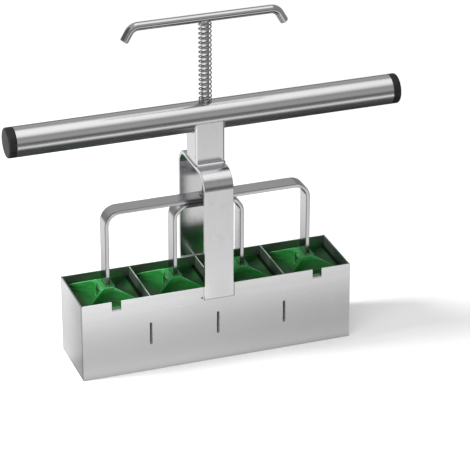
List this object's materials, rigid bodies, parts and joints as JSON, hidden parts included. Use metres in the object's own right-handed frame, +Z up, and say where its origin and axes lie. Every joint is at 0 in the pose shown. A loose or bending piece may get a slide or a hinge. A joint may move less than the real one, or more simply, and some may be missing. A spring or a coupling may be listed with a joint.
{
  "type": "soil blocker",
  "caption": "Hand press that moulds cubes of potting mix: a sheet-steel mould, a tube handle on a bail, and a sprung push rod that drives plungers down through the cells.",
  "frame": {"origin": "centre of the mould's bottom edge, on the surface that the mould stands on", "axes": "+X along the mould and the handle tube, +Y from the notched front wall to the back wall, +Z up along the push rod"},
  "size_m": [0.2988, 0.0596, 0.2643],
  "materials": {
    "mould_steel": "satin stainless sheet",
    "bar_steel": "polished stainless flat bar with a fine grain along it",
    "tube_steel": "bright polished stainless tube",
    "rod_steel": "bright polished round bar",
    "spring_steel": "bright drawn wire",
    "green_plastic": "moulded, half gloss",
    "black_plastic": "moulded, fine matt texture"
  },
  "bodies": {
    "mould": {"front_wall": "mould_steel", "back_wall": "mould_steel", "left_end_wall": "mould_steel", "right_end_wall": "mould_steel", "divider_1": "mould_steel", "divider_2": "mould_steel", "divider_3": "mould_steel", "bail": "bar_steel", "neck": "bar_steel", "handle_tube": "tube_steel", "left_end_cap": "black_plastic", "right_end_cap": "black_plastic", "spring": "spring_steel"},
    "press": {"push_rod": "rod_steel", "push_handle": "rod_steel", "outer_yoke": "bar_steel", "inner_yoke": "bar_steel", "rod_washer": "rod_steel", "rod_nut": "rod_steel", "plunger_1": "green_plastic", "plunger_2": "green_plastic", "plunger_3": "green_plastic", "plunger_4": "green_plastic", "plunger_rivet_1": "rod_steel", "plunger_rivet_2": "rod_steel", "plunger_rivet_3": "rod_steel", "plunger_rivet_4": "rod_steel", "seed_pin_1": "green_plastic", "seed_pin_2": "green_plastic", "seed_pin_3": "green_plastic", "seed_pin_4": "green_plastic"}
  },
  "joints": [
    {"name": "press_slide", "type": "slide", "parent": "mould", "child": "press", "axis": [0, 0, -1], "range_m": [0, 0.0415], "stiffness_N_per_m": 620, "springref_m": -0.012, "deforming": ["spring"]}
  ]
}
